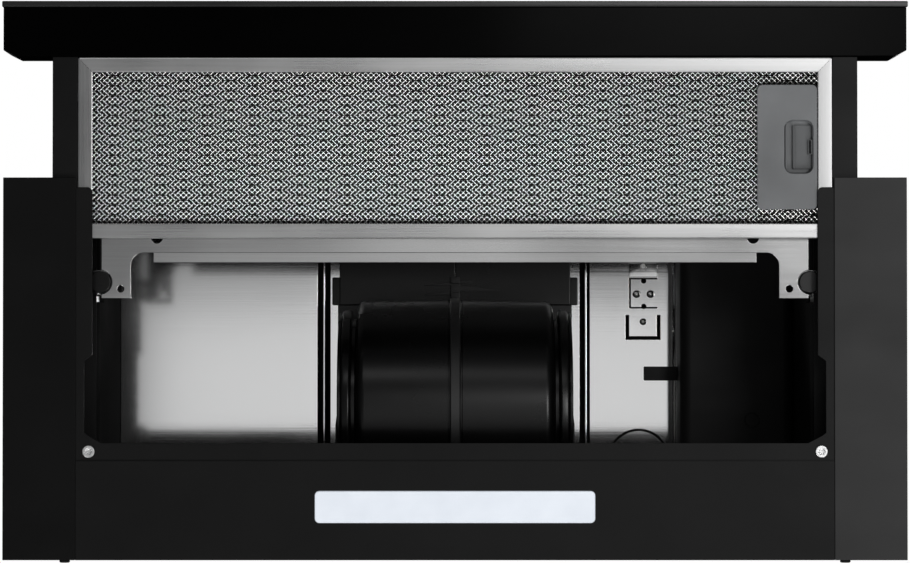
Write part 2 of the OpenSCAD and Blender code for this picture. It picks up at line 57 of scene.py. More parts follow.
class Graph:
    """A material's nodes, with short calls for the few kinds that are used here."""

    def __init__(self, name):
        self.material = bpy.data.materials.new(name)
        self.material.use_nodes = True
        self.tree = self.material.node_tree
        self.shader = self.tree.nodes["Principled BSDF"]

    def node(self, kind, **values):
        made = self.tree.nodes.new(kind)
        for key, value in values.items():
            if hasattr(made, key):
                setattr(made, key, value)
            else:
                made.inputs[key.replace("_", " ")].default_value = value
        return made

    def link(self, source, target):
        self.tree.links.new(source, target)

    def place(self, scale):
        """Object coordinates in metres, multiplied by scale on each axis."""
        coordinates = self.node("ShaderNodeTexCoord")
        mapping = self.node("ShaderNodeMapping")
        mapping.inputs["Scale"].default_value = scale
        self.link(coordinates.outputs["Object"], mapping.inputs["Vector"])
        return mapping.outputs["Vector"]

    def noise(self, scale, detail=3.0, stretch=(1, 1, 1)):
        made = self.node("ShaderNodeTexNoise", Scale=scale, Detail=detail)
        self.link(self.place(stretch), made.inputs["Vector"])
        return made.outputs["Fac"]

    def spread(self, value, low, high, source=(0.3, 0.7)):
        """Maps a 0 to 1 pattern to the range low to high."""
        made = self.node("ShaderNodeMapRange")
        for socket, number in zip(("From Min", "From Max", "To Min", "To Max"), (*source, low, high)):
            made.inputs[socket].default_value = number
        self.link(value, made.inputs["Value"])
        return made.outputs["Result"]

    def blend_colours(self, value, dark, light):
        ramp = self.node("ShaderNodeValToRGB")
        ramp.color_ramp.elements[0].position = 0.3
        ramp.color_ramp.elements[1].position = 0.7
        ramp.color_ramp.elements[0].color = (*dark, 1)
        ramp.color_ramp.elements[1].color = (*light, 1)
        self.link(value, ramp.inputs["Fac"])
        return ramp.outputs["Color"]

    def bump(self, value, strength, distance):
        made = self.node("ShaderNodeBump", Strength=strength, Distance=distance)
        self.link(value, made.inputs["Height"])
        self.link(made.outputs["Normal"], self.shader.inputs["Normal"])

    def set(self, **values):
        for key, value in values.items():
            self.shader.inputs[key.replace("_", " ")].default_value = value


def grey(level, tint=(1.0, 1.0, 1.0)):
    return tuple(level * t for t in tint)


def coating(name, level, roughness, specular, grain, relief, tint=(1, 1, 1)):
    """Enamel or moulded plastic: a slightly mottled colour, uneven gloss and a fine relief."""
    g = Graph(name)
    mottle = g.noise(18, 4)
    g.link(g.blend_colours(mottle, grey(level * 0.82, tint), grey(level * 1.18, tint)),
           g.shader.inputs["Base Color"])
    smear = g.noise(7, 5, (1, 2.4, 1))
    g.link(g.spread(smear, roughness * 0.85, roughness * 1.18), g.shader.inputs["Roughness"])
    g.bump(g.noise(grain, 2), 0.35, relief)
    g.set(Specular_IOR_Level=specular)
    return g.material


def brushed(name, dark, light, roughness, along, metallic=1.0, lines=900.0, relief=0.00002):
    """Sheet metal with fine lines along one axis, and cloudy patches from rolling and handling."""
    g = Graph(name)
    stretch = [lines, lines, lines]
    stretch["XYZ".index(along)] = lines * 0.012
    streaks = g.noise(1.0, 3, stretch)
    clouds = g.noise(9, 4)
    mix = g.node("ShaderNodeMath", operation="MULTIPLY_ADD")
    g.link(streaks, mix.inputs[0])
    mix.inputs[1].default_value = 0.45
    scaled = g.spread(clouds, 0.15, 0.5)
    g.link(scaled, mix.inputs[2])
    g.link(g.blend_colours(mix.outputs["Value"], grey(dark), grey(light)), g.shader.inputs["Base Color"])
    g.link(g.spread(mix.outputs["Value"], roughness * 0.8, roughness * 1.2), g.shader.inputs["Roughness"])
    g.bump(streaks, 0.3, relief)
    g.set(Metallic=metallic)
    return g.material


def spangled(name, dark, light, roughness, metallic):
    """Zinc-coated sheet: faint crystals under a rolled finish."""
    g = Graph(name)
    cells = g.node("ShaderNodeTexVoronoi", Scale=160.0)
    g.link(g.place((1, 1, 1)), cells.inputs["Vector"])
    clouds = g.noise(6, 5)
    g.link(g.blend_colours(clouds, grey(dark), grey(light)), g.shader.inputs["Base Color"])
    g.link(g.spread(cells.outputs["Distance"], roughness * 0.9, roughness * 1.12, (0.0, 0.8)),
           g.shader.inputs["Roughness"])
    g.bump(g.noise(1.0, 2, (14, 700, 700)), 0.2, 0.00002)
    g.set(Metallic=metallic)
    return g.material


def bright_wire(name):
    """Aluminium strands that were cut and stretched bright: pale and half matt."""
    g = Graph(name)
    g.link(g.blend_colours(g.noise(260, 2), grey(0.90), grey(0.97)), g.shader.inputs["Base Color"])
    g.link(g.spread(g.noise(500, 2), 0.32, 0.40), g.shader.inputs["Roughness"])
    g.set(Metallic=1.0)
    return g.material


def lit_diffuser(name):
    g = Graph(name)
    g.link(g.blend_colours(g.noise(40, 2), (0.66, 0.70, 0.76), (0.72, 0.76, 0.82)),
           g.shader.inputs["Base Color"])
    g.link(g.spread(g.noise(600, 2), 0.32, 0.42), g.shader.inputs["Roughness"])
    g.bump(g.noise(900, 2), 0.2, 0.00005)
    g.set(Emission_Color=(0.80, 0.85, 0.92, 1), Emission_Strength=0.20)
    return g.material


MATERIALS = {
    # The two side covers share one enamel: the left cover's copy is darker as painted shade and the right
    # cover's copy is lighter as painted sheen.
    "enamel_painted_shade": coating("enamel_painted_shade", 0.0026, 0.42, 0.10, 2600, 0.00003),
    "enamel": coating("enamel", 0.0032, 0.42, 0.14, 2600, 0.00003),
    "enamel_painted_sheen": coating("enamel_painted_sheen", 0.009, 0.46, 0.30, 2600, 0.00003),
    "gloss_black": coating("gloss_black", 0.0003, 0.16, 0.035, 900, 0.00001),
    # Matt black for faces that stand in shade: painted shade.
    "painted_shade_black": coating("painted_shade_black", 0.001, 0.8, 0.0, 900, 0.00001),
    # Dull black for the sheet over the filter mesh and the filter bars' inner faces: painted shade.
    "painted_shade_dull": coating("painted_shade_dull", 0.003, 0.9, 0.02, 2400, 0.0002),
    "fascia": coating("fascia", 0.012, 0.22, 0.45, 900, 0.00001),
    "galvanised": spangled("galvanised", 0.55, 0.68, 0.42, 0.85),
    "lining": brushed("lining", 0.88, 0.92, 0.09, "X"),
    "bare_steel": brushed("bare_steel", 0.42, 0.50, 0.18, "X"),
    "zinc": brushed("zinc", 0.55, 0.72, 0.30, "Y"),
    # The bars along Y use the same aluminium as those along X, with a darker base: painted shade on the side
    # bars.
    "aluminium_x": brushed("aluminium_x", 0.38, 0.46, 0.28, "X"),
    "aluminium_y": brushed("aluminium_y", 0.30, 0.37, 0.28, "Y"),
    "strand": bright_wire("strand"),
    "strand_painted_shade": coating("strand_painted_shade", 0.010, 0.42, 0.12, 2600, 0.00001),
    "painted_edge_highlight": coating("painted_edge_highlight", 0.45, 0.40, 0.5, 700, 0.00002),
    "grey_plastic": coating("grey_plastic", 0.15, 0.50, 0.40, 3200, 0.00004, (0.97, 1.0, 1.03)),
    "grey_plastic_dark": coating("grey_plastic_dark", 0.10, 0.52, 0.35, 3200, 0.00004, (0.97, 1.0, 1.03)),
    "black_plastic": coating("black_plastic", 0.0013, 0.27, 0.30, 1400, 0.00003),
    "band_plastic": coating("band_plastic", 0.005, 0.42, 0.45, 1400, 0.00003),
    "dull_plastic": coating("dull_plastic", 0.006, 0.60, 0.16, 1800, 0.00004),
    "white_plastic": coating("white_plastic", 0.70, 0.45, 0.45, 1500, 0.00003),
    "board": coating("board", 0.10, 0.40, 0.45, 1200, 0.00003, (0.4, 1.4, 0.7)),
    "rubber": coating("rubber", 0.006, 0.75, 0.20, 2200, 0.00006),
    "foam": coating("foam", 0.008, 0.95, 0.05, 900, 0.0003),
    "motor_steel": spangled("motor_steel", 0.35, 0.45, 0.40, 1.0),
    "diffuser": lit_diffuser("diffuser"),
}

SLOT_LOOKS = {
    "black_steel": "enamel", "black_glass_strip": "fascia", "galvanised": "galvanised",
    "bare_steel": "bare_steel", "zinc_hardware": "zinc", "filter_aluminium": "aluminium_x",
    "filter_mesh": "strand", "grey_plastic": "grey_plastic", "black_plastic": "black_plastic",
    "diffuser": "diffuser", "white_plastic": "white_plastic", "circuit_board": "board",
    "black_rubber": "rubber", "motor_steel": "motor_steel",
}
NODE_LOOKS = {
    # The side covers take the darker (painted shade) and lighter (painted sheen) copies of the one enamel.
    "side_cover_left": "enamel_painted_shade", "side_cover_right": "enamel_painted_sheen", "front_bar": "gloss_black",
    "ceiling_plate_left": "lining", "blower_plate": "lining", "terminal_plate": "lining",
    "ceiling_dividers": "lining", "damping_mats": "foam", "latch_slider": "grey_plastic_dark",
    "scroll_seam": "black_plastic", "electronics_cover": "dull_plastic",
}
# Width of the rounding along each node's edges, in millimetres, where it isn't the usual one.
EDGE_WIDTH = {"front_fascia": 0.7, "front_bar": 0.6, "lamp_diffuser": 0.5, "frame_screws": 0.3,
              "duct_collar": 0.6, "guide_roller_left": 0.7, "guide_roller_right": 0.7,
              "rear_bumpers": 0.8, "scroll_seam": 0.5, "latch_slider": 0.6}
USUAL_EDGE = 0.3


def dress(obj, look):
    obj.data.materials.clear()
    obj.data.materials.append(MATERIALS[look])


def weigh_normals(obj, keep_sharp):
    """Large faces stay flat to the eye, and the roundings between them carry the change."""
    weights = obj.modifiers.new("normals", "WEIGHTED_NORMAL")
    weights.mode = "FACE_AREA"
    weights.weight = 100
    weights.keep_sharp = keep_sharp


def soften(obj, width_mm):
    """Joins the split vertices, merges flat faces and rounds the edges."""
    weld = obj.modifiers.new("weld", "WELD")
    weld.merge_threshold = 0.000002
    flat = obj.modifiers.new("flat", "DECIMATE")
    flat.decimate_type = "DISSOLVE"
    flat.angle_limit = math.radians(0.5)
    bevel = obj.modifiers.new("edge", "BEVEL")
    bevel.width = width_mm * MM
    bevel.segments = 2
    bevel.limit_method = "ANGLE"
    bevel.angle_limit = math.radians(40)
    bevel.use_clamp_overlap = False
    weigh_normals(obj, False)
    for polygon in obj.data.polygons:
        polygon.use_smooth = True


def dress_frame():
    slots = {row["node"]: row["material_slot"] for row in frame["record"]["subparts"]}
    for name, obj in NODES.items():
        dress(obj, NODE_LOOKS.get(name, SLOT_LOOKS[slots[name]]))
        soften(obj, EDGE_WIDTH.get(name, USUAL_EDGE))
    # The front bar's rear faces and the crossbar's upper faces turn matt black: painted shade.
    for name, axis in (("front_bar", 1), ("crossbar", 2)):
        mesh = NODES[name].data
        mesh.materials.append(MATERIALS["painted_shade_black"])
        for polygon in mesh.polygons:
            if polygon.normal[axis] > 0.9:
                polygon.material_index = 1


# ---------------------------------------------------------------- mesh helpers


def body_of_node(node):
    return next(body for body, members in frame["record"]["behaviour"]["bodies"].items() if node in members)


def finish_piece(name, mesh, look, node, stands_for=(), smooth=30):
    """A new piece that rides on the body of the given CAD node and hides the nodes it stands for."""
    obj = bpy.data.objects.new(name, mesh)
    bpy.context.scene.collection.objects.link(obj)
    mesh.materials.append(MATERIALS[look])
    for polygon in mesh.polygons:
        polygon.use_smooth = True
    mesh.set_sharp_from_angle(angle=math.radians(smooth))
    if smooth > 25:
        weigh_normals(obj, True)
    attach(obj, body_of_node(node))
    if stands_for:
        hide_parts(*stands_for)
    return obj


def mesh_from(bm, name):
    bmesh.ops.recalc_face_normals(bm, faces=bm.faces)
    mesh = bpy.data.meshes.new(name)
    bm.to_mesh(mesh)
    bm.free()
    return mesh


def add_box(bm, low, high, bevel=0.0, segments=2, edges=None):
    """A box in metres, with its edges rounded by bevel; edges picks which of them, from their middles."""
    made = bmesh.ops.create_cube(bm, size=1.0)
    low, high = Vector(low), Vector(high)
    verts = made["verts"]
    bmesh.ops.scale(bm, vec=high - low, verts=verts)
    bmesh.ops.translate(bm, vec=(low + high) / 2, verts=verts)
    if bevel:
        around = {e for v in verts for e in v.link_edges}
        if edges:
            around = {e for e in around if edges((e.verts[0].co + e.verts[1].co) / 2, low, high)}
        bmesh.ops.bevel(bm, geom=list(around), offset=bevel, segments=segments, profile=0.5,
                        affect="EDGES", clamp_overlap=True)


def add_prism(bm, outline, z_low, z_high, bevel=0.0):
    """An outline in X and Y, raised from z_low to z_high, with both rims rounded."""
    rings = [[bm.verts.new((x, y, z)) for x, y in outline] for z in (z_low, z_high)]
    bm.faces.new(rings[0][::-1])
    bm.faces.new(rings[1])
    count = len(outline)
    for i in range(count):
        j = (i + 1) % count
        bm.faces.new((rings[0][i], rings[0][j], rings[1][j], rings[1][i]))
    if bevel:
        rim = [e for e in {e for ring in rings for v in ring for e in v.link_edges}
               if abs(e.verts[0].co.z - e.verts[1].co.z) < 1e-9]
        bmesh.ops.bevel(bm, geom=rim, offset=bevel, segments=2, profile=0.5, affect="EDGES")


def round_outline(x, y, radius, steps=6):
    """The corner points of a rounded rectangle, anticlockwise."""
    points = []
    for cx, cy, start in ((x[1] - radius, y[1] - radius, 0), (x[0] + radius, y[1] - radius, 90),
                          (x[0] + radius, y[0] + radius, 180), (x[1] - radius, y[0] + radius, 270)):
        for i in range(steps + 1):
            turn = math.radians(start + 90 * i / steps)
            points.append((cx + radius * math.cos(turn), cy + radius * math.sin(turn)))
    return points


def spin(bm, profile, centre, axis, steps=96):
    """A closed profile of (along, radius) points turned round an axis through centre."""
    along = {"X": Vector((1, 0, 0)), "Y": Vector((0, 1, 0)), "Z": Vector((0, 0, 1))}[axis]
    first = {"X": Vector((0, 1, 0)), "Y": Vector((0, 0, 1)), "Z": Vector((1, 0, 0))}[axis]
    second = along.cross(first)
    centre = Vector(centre)
    rings = []
    for i in range(steps):
        turn = 2 * math.pi * i / steps
        out = first * math.cos(turn) + second * math.sin(turn)
        rings.append([bm.verts.new(centre + along * a + out * r) for a, r in profile])
    count = len(profile)
    for i in range(steps):
        ring, following = rings[i], rings[(i + 1) % steps]
        for j in range(count):
            k = (j + 1) % count
            bm.faces.new((ring[j], ring[k], following[k], following[j]))


def arc(cx, cy, radius, start, end, steps=6):
    """Points on an arc, in degrees, for a profile."""
    return [(cx + radius * math.cos(math.radians(start + (end - start) * i / steps)),
             cy + radius * math.sin(math.radians(start + (end - start) * i / steps)))
            for i in range(steps + 1)]


# ---------------------------------------------------------------- grease filter

FILTER_LOW, FILTER_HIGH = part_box("filter_frame")
BAR = 9.5 * MM


def expanded_sheet(name, pitch_x, pitch_y, width, thick, z, tilt, hole):
    """One layer of expanded metal: wavy strands that meet at their crests, each a flat bar on a slant.

    The layer is cut out behind the latch's plate.
    """
    plate_low, plate_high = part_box("latch_plate")
    inset = 2 * MM
    x_low, y_low = FILTER_LOW.x + 0.3 * BAR, FILTER_LOW.y + 0.3 * BAR
    x_high, y_high = FILTER_HIGH.x - 0.3 * BAR, FILTER_HIGH.y - 0.3 * BAR
    x_low = hole[0] - math.floor((hole[0] - x_low) / pitch_x) * pitch_x
    y_low = hole[1] - math.floor((hole[1] - y_low) / pitch_y) * pitch_y
    columns = int((x_high - x_low) / (pitch_x / 2)) + 1
    rows = int((y_high - y_low) / pitch_y)
    corners = np.array([[-width, -thick], [width, -thick], [width, thick], [-width, thick]]) / 2
    turn = np.array([[math.cos(tilt), -math.sin(tilt)], [math.sin(tilt), math.cos(tilt)]])
    section = corners @ turn.T
    steps = np.arange(columns)
    verts, faces = [], []
    for row in range(rows):
        for side in (0, 1):
            crest = np.where((steps + side) % 2 == 0, 0.5, 0.0)
            y_mid = y_low + (row + 0.5 * side + crest) * pitch_y
            ring = np.zeros((columns, 4, 3))
            ring[:, :, 0] = (x_low + steps * pitch_x / 2)[:, None]
            ring[:, :, 1] = y_mid[:, None] + section[None, :, 0]
            rise = (crest[:, None] - 0.25) * (0.5 - side) * 0.5 * thick
            ring[:, :, 2] = z + section[None, :, 1] + rise
            start = len(verts) * columns * 4
            verts.append(ring.reshape(-1, 3))
            middle_x, middle_y = ring[:-1, 0, 0] + pitch_x / 4, ring[:-1, 0, 1]
            kept = ((middle_x < plate_low.x + inset) | (middle_x > plate_high.x)
                    | (middle_y < plate_low.y + inset) | (middle_y > plate_high.y - inset))
            index = start + np.flatnonzero(kept)[:, None] * 4
            for a in range(4):
                b = (a + 1) % 4
                quads = np.stack([index + a, index + b, index + 4 + b, index + 4 + a], -1)
                faces.append(quads.reshape(-1, 4))
            end = start + (columns - 1) * 4
            faces.append(np.array([[start, start + 3, start + 2, start + 1],
                                   [end, end + 1, end + 2, end + 3]]))
    mesh = bpy.data.meshes.new(name)
    mesh.from_pydata(np.concatenate(verts).tolist(), [], np.concatenate(faces).tolist())
    mesh.update()
    return mesh


# The middle of one opening in both layers, which sets how the two patterns meet.
MESH_HOLE = (-227.3 * MM, -314.0 * MM)
STRAND_TILT = math.radians(20)
STRAND_THICK = 0.10 * MM


def make_mesh():
    """Two layers that slant opposite ways, a near-black one below a bright one, and a black sheet over them;
    the near-black layer and the black sheet are painted shade.
    """
    # The front layer is the same aluminium as the rear one, made near-black: painted shade.
    front = expanded_sheet("mesh_front", 3.945 * MM, 2.304 * MM, 0.58 * MM, STRAND_THICK,
                           FILTER_LOW.z + 1.7 * MM, -STRAND_TILT, MESH_HOLE)
    finish_piece("filter_mesh_outer", front, "strand_painted_shade", "filter_mesh", ["filter_mesh"], 10)
    rear = expanded_sheet("mesh_rear", 3.500 * MM, 3.542 * MM, 0.48 * MM, STRAND_THICK,
                          FILTER_LOW.z + 2.9 * MM, STRAND_TILT, MESH_HOLE)
    finish_piece("filter_mesh_inner", rear, "strand", "filter_mesh", ["filter_mesh"], 10)
    low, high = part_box("filter_mesh")
    plate_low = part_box("latch_plate")[0]
    bm = bmesh.new()
    z_low, z_high = FILTER_LOW.z + 4.6 * MM, FILTER_LOW.z + 5.4 * MM
    add_box(bm, (low.x, low.y, z_low), (plate_low.x + 12 * MM, high.y, z_high), 0.3 * MM)
    for y_low, y_high in ((low.y, low.y + 22 * MM), (high.y - 12 * MM, high.y)):
        add_box(bm, (plate_low.x + 12.1 * MM, y_low, z_low), (high.x, y_high, z_high), 0.3 * MM)
    # A black sheet over the mesh, so its openings read dark: painted shade.
    finish_piece("filter_shade_backing", mesh_from(bm, "filter_shade_backing"), "painted_shade_dull", "filter_mesh", ["filter_mesh"])


def bar_section(outer, inner, z_low, z_high):
    """A folded bar's section, from its outer face to the rounded lip over the mesh."""
    step = 1.0 if inner > outer else -1.0
    lip = 0.7 * MM
    return [(outer, z_high), (outer, z_low + lip), (outer + 0.25 * step * lip, z_low + 0.25 * lip),
            (outer + step * lip, z_low), (inner - step * lip, z_low), (inner, z_low + 0.35 * lip),
            (inner, z_low + lip), (inner - 0.3 * step * lip, z_low + 1.25 * lip),
            (outer + step * lip, z_low + 1.25 * lip), (outer + step * lip, z_high)]


def make_filter_frame():
    """Four folded bars with mitred corners, a hair apart at the mitres."""
    gap = 0.12 * MM
    low, high = FILTER_LOW, FILTER_HIGH
    for name, along, outer, inner, ends in (
        ("front", "X", low.y, low.y + BAR, (low.x, high.x)),
        ("rear", "X", high.y, high.y - BAR, (low.x, high.x)),
        ("left", "Y", low.x, low.x + BAR, (low.y, high.y)),
        ("right", "Y", high.x, high.x - BAR, (low.y, high.y)),
    ):
        bm = bmesh.new()
        rings = []
        for end, sign in ((ends[0], 1), (ends[1], -1)):
            ring = []
            for across, z in bar_section(outer, inner, low.z, high.z):
                place = end + sign * (abs(across - outer) + gap)
                point = (place, across, z) if along == "X" else (across, place, z)
                ring.append(bm.verts.new(point))
            rings.append(ring)
        count = len(rings[0])
        for i in range(count):
            j = (i + 1) % count
            bm.faces.new((rings[0][i], rings[0][j], rings[1][j], rings[1][i]))
        bm.faces.new(rings[0][::-1])
        bm.faces.new(rings[1])
        # The side bars get the darker copy of the aluminium: painted shade.
        obj = finish_piece(f"filter_bar_{name}", mesh_from(bm, name), f"aluminium_{along.lower()}",
                           "filter_frame", ["filter_frame"])
        # The bars' inner faces over the mesh turn dull black: painted shade.
        obj.data.materials.append(MATERIALS["painted_shade_dull"])
        for polygon in obj.data.polygons:
            facing = polygon.normal.y if along == "X" else polygon.normal.x
            if facing * (1 if inner > outer else -1) > 0.5:
                polygon.material_index = 1
    # A pale strip along the frame's front edge is a painted highlight; two short pale strips run back from
    # its ends.
    rim = bmesh.new()
    add_box(rim, (low.x + 1 * MM, low.y, low.z), (high.x - 1 * MM, low.y + 0.75 * MM, low.z + 0.9 * MM),
            0.25 * MM)
    for x in (low.x + 1.2 * MM, high.x - 1.8 * MM):
        add_box(rim, (x, low.y + 0.2 * MM, low.z + 0.2 * MM),
                (x + 0.6 * MM, low.y + 6 * MM, low.z + 0.8 * MM), 0.2 * MM)
    finish_piece("filter_rim", mesh_from(rim, "filter_rim"), "painted_edge_highlight", "filter_frame")


LATCH_TRAVEL = 3.5 * MM


def make_latch():
    """The latch's plate with its finger recess: a rim, sloping walls and a floor, as one closed shell."""
    low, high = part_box("latch_plate")
    slider_low, slider_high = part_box("latch_slider")
    middle = (slider_low.y + slider_high.y) / 2
    hole_x = (low.x + 18.1 * MM, low.x + 37.1 * MM)
    hole_y = (middle - 17.7 * MM, middle + 17.7 * MM)
    edge, wall = 0.6 * MM, 1.0 * MM
    plate_top = low.z + 1.5 * MM

    def ring(bm, grow, z):
        return [bm.verts.new((x, y, z)) for x, y in
                round_outline((low.x + grow, high.x - grow), (low.y + grow, high.y - grow), 3.5 * MM - grow)]

    def hole_ring(bm, grow, z):
        return [bm.verts.new((x, y, z)) for x, y in
                round_outline((hole_x[0] - grow, hole_x[1] + grow), (hole_y[0] - grow, hole_y[1] + grow),
                              5.3 * MM + grow)]

    bm = bmesh.new()
    rings = [
        hole_ring(bm, -wall, high.z - 1.2 * MM), hole_ring(bm, -0.3 * wall, high.z - 1.9 * MM),
        hole_ring(bm, 0, low.z + 3 * edge), hole_ring(bm, 0, low.z + edge),
        hole_ring(bm, 0.3 * edge, low.z + 0.3 * edge),
        hole_ring(bm, edge, low.z), ring(bm, edge, low.z), ring(bm, 0.3 * edge, low.z + 0.3 * edge),
        ring(bm, 0, low.z + edge), ring(bm, 0, plate_top),
        hole_ring(bm, wall, plate_top), hole_ring(bm, wall, high.z),
    ]
    count = len(rings[0])
    for first, second in zip(rings, rings[1:]):
        for i in range(count):
            j = (i + 1) % count
            bm.faces.new((first[i], first[j], second[j], second[i]))
    bm.faces.new(rings[0])
    bm.faces.new(rings[-1][::-1])
    finish_piece("latch_cup", mesh_from(bm, "latch_cup"), "grey_plastic", "latch_plate", ["latch_plate"], 35)

    step = bmesh.new()
    lip_x = slider_low.x + 1.9 * MM
    add_box(step, (hole_x[0] + 0.8 * MM, hole_y[0] + 3 * MM, high.z - 3.4 * MM),
            (lip_x - LATCH_TRAVEL - 0.3 * MM, hole_y[1] - 3 * MM, high.z - 1.1 * MM), 0.4 * MM)
    finish_piece("latch_step", mesh_from(step, "latch_step"), "grey_plastic", "latch_plate")

    grip = bmesh.new()
    low, high = slider_low, slider_high
    tongue_low, tongue_high = middle - 5 * MM, middle + 5 * MM
    add_box(grip, (low.x + 2.1 * MM, low.y, high.z - 1.1 * MM), (low.x + 14.2 * MM, high.y, high.z), 0.3 * MM)
    add_box(grip, (lip_x, low.y, high.z - 2.6 * MM), (low.x + 3.1 * MM, high.y, high.z - 0.5 * MM),
            0.4 * MM, 3)
    add_box(grip, (low.x + 12 * MM, tongue_low, low.z), (high.x, tongue_high, low.z + 2 * MM), 0.5 * MM, 3)
    add_box(grip, (low.x + 12 * MM, tongue_low, low.z), (low.x + 14 * MM, tongue_high, high.z), 0.3 * MM)
    finish_piece("latch_grip", mesh_from(grip, "latch_grip"), "grey_plastic_dark", "latch_slider",
                 ["latch_slider"], 35)


# ---------------------------------------------------------------- blower

SHAFT_LOW, SHAFT_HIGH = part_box("motor_shaft")
AXIS = Vector((0, (SHAFT_LOW.y + SHAFT_HIGH.y) / 2, (SHAFT_LOW.z + SHAFT_HIGH.z) / 2))
BARREL_R = 75 * MM
BARREL_X = 66.8 * MM
COLLAR_X = 77.4 * MM
SEAM_X = 0.2 * MM


def barrel_profile(start):
    """Half of the housing from the seam to the inlet, as a closed (along, radius) outline in metres."""
    corner = 6 * MM
    band = start + 3.5 * MM
    outside = [(start, BARREL_R - 0.4 * MM), (band, BARREL_R - 0.4 * MM),
               (band + 0.2 * MM, BARREL_R - 1.6 * MM), (band + 1.1 * MM, BARREL_R - 1.6 * MM),
               (band + 1.4 * MM, BARREL_R)]
    outside += arc(BARREL_X - corner, BARREL_R - 0.5 * MM - corner, corner, 90, 0, 8)
    groove = BARREL_R - 13 * MM
    outside += [(BARREL_X, groove + 1 * MM), (BARREL_X + 1 * MM, groove), (BARREL_X + 3 * MM, groove)]
    collar = 68.5 * MM
    outside += arc(BARREL_X + 5.6 * MM, collar - 2 * MM, 2 * MM, 180, 90, 4)
    outside += arc(COLLAR_X - 2.2 * MM, collar - 2.6 * MM, 2.2 * MM, 90, 0, 4)
    outside += arc(COLLAR_X - 2.5 * MM, 60 * MM, 2.5 * MM, 0, -90, 4)
    inside = [(BARREL_X + 2 * MM, 57.5 * MM), (BARREL_X - 2.5 * MM, 58 * MM),
              (BARREL_X - 2.5 * MM, BARREL_R - 8 * MM), (start, BARREL_R - 2.9 * MM)]
    return outside + inside


def make_scroll(side):
    """One housing half: the turned barrel, the rising duct behind it, and the feet under the ceiling."""
    name = "left" if side < 0 else "right"
    node = f"scroll_{name}"
    low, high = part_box(node)
    seam = side * SEAM_X + 0.05 * MM
    bm = bmesh.new()
    spin(bm, barrel_profile(seam), AXIS, "X")
    inner, outer = seam, BARREL_X - 1.5 * MM
    duct_front, duct_rear = AXIS.y - BARREL_R, AXIS.y - 45 * MM
    add_box(bm, (inner, duct_front + 0.3 * MM, AXIS.z + 30 * MM), (outer, duct_rear, high.z - 13 * MM),
            3 * MM, 3)
    add_box(bm, (inner, -168 * MM, high.z - 16 * MM), (58 * MM, -100 * MM, high.z), 2 * MM, 2)
    add_box(bm, (inner, low.y, 186 * MM), (82.2 * MM, -170.8 * MM, 191 * MM), 0.8 * MM)
    add_box(bm, (62 * MM, -190.6 * MM, 188 * MM), (87.5 * MM, -170.8 * MM, 195 * MM), 0.8 * MM)
    add_box(bm, (58.5 * MM, -171 * MM, 186 * MM), (83.4 * MM, -96.8 * MM, 190 * MM), 0.8 * MM)
    add_box(bm, (60 * MM, -80 * MM, 150 * MM), (BARREL_X - 1 * MM, -50 * MM, 194.6 * MM), 1 * MM)
    foot = [(62, -104), (83.8, -96.8), (85.1, -85.4), (85.1, -40), (62, -40)]
    add_prism(bm, [(x * MM, y * MM) for x, y in foot], 184 * MM, 194.8 * MM, 0.8 * MM)
    for y in (-160, -140, -120):
        add_box(bm, (BARREL_X - 3 * MM, y * MM, 168 * MM), (76 * MM, (y + 2) * MM, 187 * MM), 0.5 * MM)
    add_box(bm, (3 * MM + inner, -54.5 * MM, 74 * MM), (BARREL_X - 9 * MM, -42 * MM, 76 * MM), 0.6 * MM)
    if side < 0:
        bmesh.ops.scale(bm, vec=(-1, 1, 1), verts=bm.verts)
    finish_piece(f"blower_shell_{name}", mesh_from(bm, node), "black_plastic", node, [node], 38)


def make_seam():
    """The clamping band, its cap below the front flange and the tapered stiffeners beside it."""
    low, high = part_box("scroll_seam")
    half = 3.4 * MM
    bm = bmesh.new()
    outer = BARREL_R + 1.6 * MM
    profile = [(-half, BARREL_R), (-half, outer - 0.6 * MM), (-half + 0.6 * MM, outer),
               (half - 0.6 * MM, outer), (half, outer - 0.6 * MM), (half, BARREL_R)]
    turned = []
    steps = 72
    for i in range(steps + 1):
        turn = math.radians(180 + 180 * i / steps)
        turned.append([bm.verts.new((SEAM_X + a, AXIS.y + r * math.cos(turn), AXIS.z + r * math.sin(turn)))
                       for a, r in profile])
    for ring, following in zip(turned, turned[1:]):
        for a in range(len(profile)):
            b = (a + 1) % len(profile)
            bm.faces.new((ring[a], ring[b], following[b], following[a]))
    bm.faces.new(turned[0][::-1])
    bm.faces.new(turned[-1])
    front = AXIS.y - outer
    for y_low, y_high, z_low, bevel in (
        (front, front + 1.5 * MM, AXIS.z, 0.5 * MM),
        (low.y, low.y + 5 * MM, high.z - 5 * MM, 0.6 * MM),
        (low.y + 11 * MM, front + 0.6 * MM, high.z - 5 * MM, 0.6 * MM),
        (low.y + 4 * MM, low.y + 12 * MM, high.z - 2 * MM, 0.5 * MM),
    ):
        add_box(bm, (SEAM_X - half, y_low, z_low), (SEAM_X + half, y_high, high.z), bevel)
    root = high.z - 0.3 * MM
    for tip, y_low, y_high in ((-22, -187, -184.6), (-22, -180.4, -178), (32, -184.8, -180.8),
                               (12, -188, -186.4)):
        blunt = 0.5 if tip != 12 else 1.6
        root_x = SEAM_X + math.copysign(3, tip) * MM
        tip_x = SEAM_X + tip * MM
        wedge = [(root_x, y_low * MM), (tip_x, (y_high - blunt) * MM), (tip_x, y_high * MM),
                 (root_x, y_high * MM)]
        add_prism(bm, wedge if tip > 0 else wedge[::-1], root - 1.8 * MM, root, 0.2 * MM)
    finish_piece("blower_band", mesh_from(bm, "blower_band"), "band_plastic", "scroll_seam",
                 ["scroll_seam"], 35)


